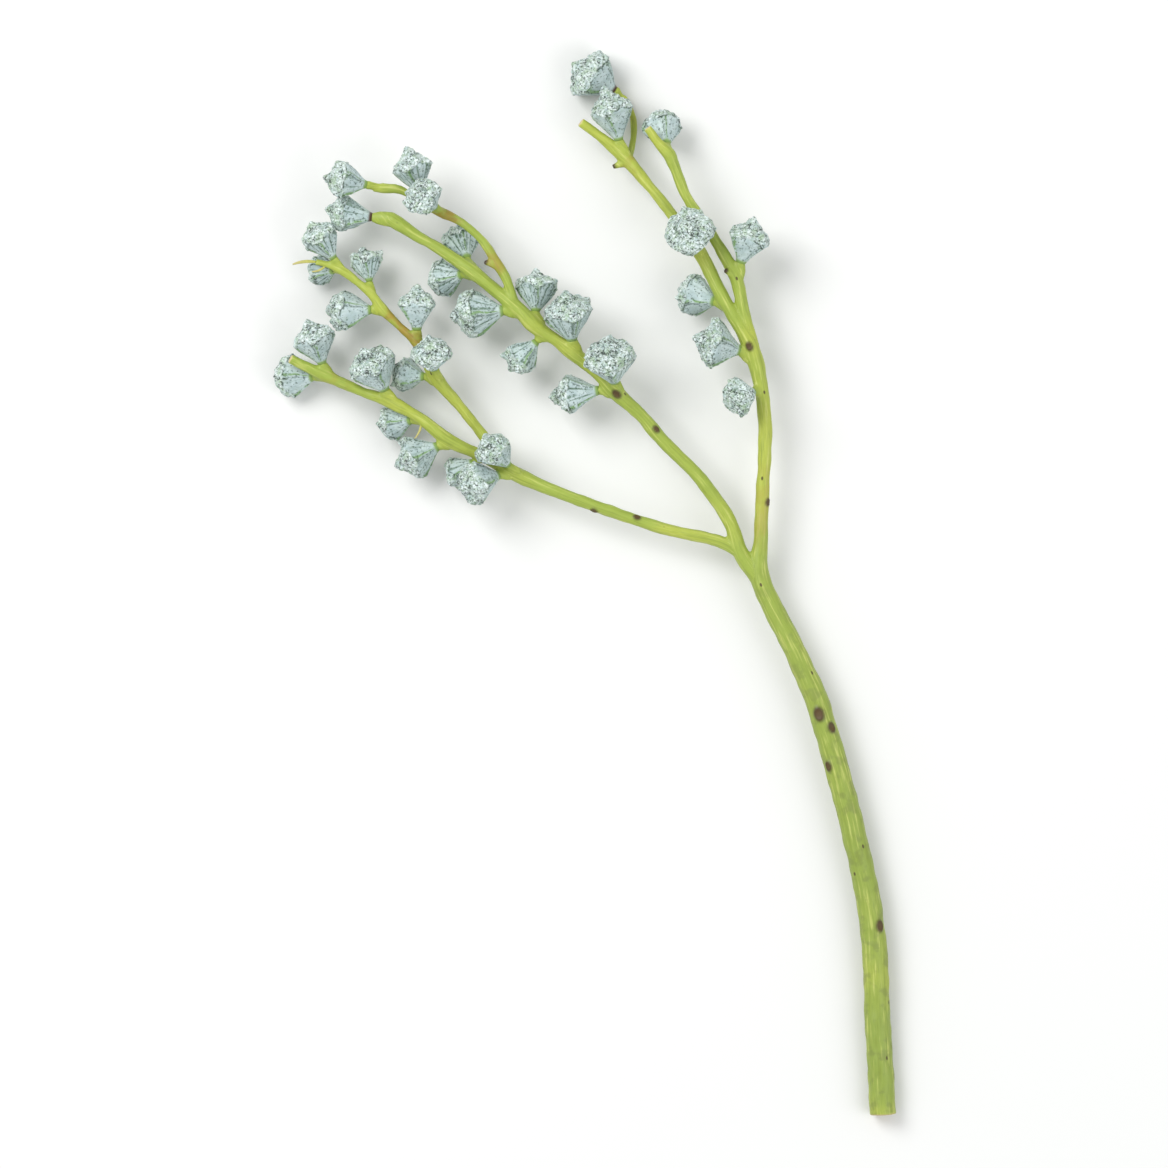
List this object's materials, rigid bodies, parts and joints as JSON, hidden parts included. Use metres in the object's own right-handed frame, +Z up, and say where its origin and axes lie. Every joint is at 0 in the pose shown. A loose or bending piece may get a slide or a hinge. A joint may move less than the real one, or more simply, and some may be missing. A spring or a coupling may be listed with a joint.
{
  "type": "eucalyptus gum nut sprig",
  "caption": "Leafless cut eucalyptus sprig lying flat: a bare curved stem forks into long branches set with ribbed, warty-capped gum nuts.",
  "frame": {"origin": "on the surface the sprig lies on, under the middle of its box", "axes": "+Y from the cut end of the stem towards the tips, +Z up from the surface, +X towards the side of the cut end"},
  "size_m": [0.2911, 0.4954, 0.0486],
  "materials": {
    "bark": "smooth fresh bark, satin, lime green with ochre stretches and dark specks",
    "bloom": "matt waxy blue-grey bloom over green, with dark specks between the warts"
  },
  "bodies": {
    "root": {"stem": "bark", "gum_nut_01": "bloom", "gum_nut_02": "bloom", "gum_nut_03": "bloom", "gum_nut_04": "bloom", "gum_nut_05": "bloom", "gum_nut_06": "bloom", "gum_nut_07": "bloom", "gum_nut_08": "bloom", "gum_nut_09": "bloom", "gum_nut_10": "bloom", "gum_nut_11": "bloom", "gum_nut_12": "bloom", "gum_nut_13": "bloom", "gum_nut_14": "bloom", "gum_nut_15": "bloom", "gum_nut_16": "bloom", "gum_nut_17": "bloom", "gum_nut_18": "bloom", "gum_nut_19": "bloom", "gum_nut_20": "bloom", "gum_nut_21": "bloom", "gum_nut_22": "bloom", "gum_nut_23": "bloom", "gum_nut_24": "bloom", "gum_nut_25": "bloom", "gum_nut_26": "bloom", "gum_nut_27": "bloom", "gum_nut_28": "bloom", "gum_nut_29": "bloom", "gum_nut_30": "bloom", "gum_nut_31": "bloom", "gum_nut_32": "bloom", "gum_nut_33": "bloom", "gum_nut_34": "bloom", "gum_nut_35": "bloom"}
  },
  "joints": []
}
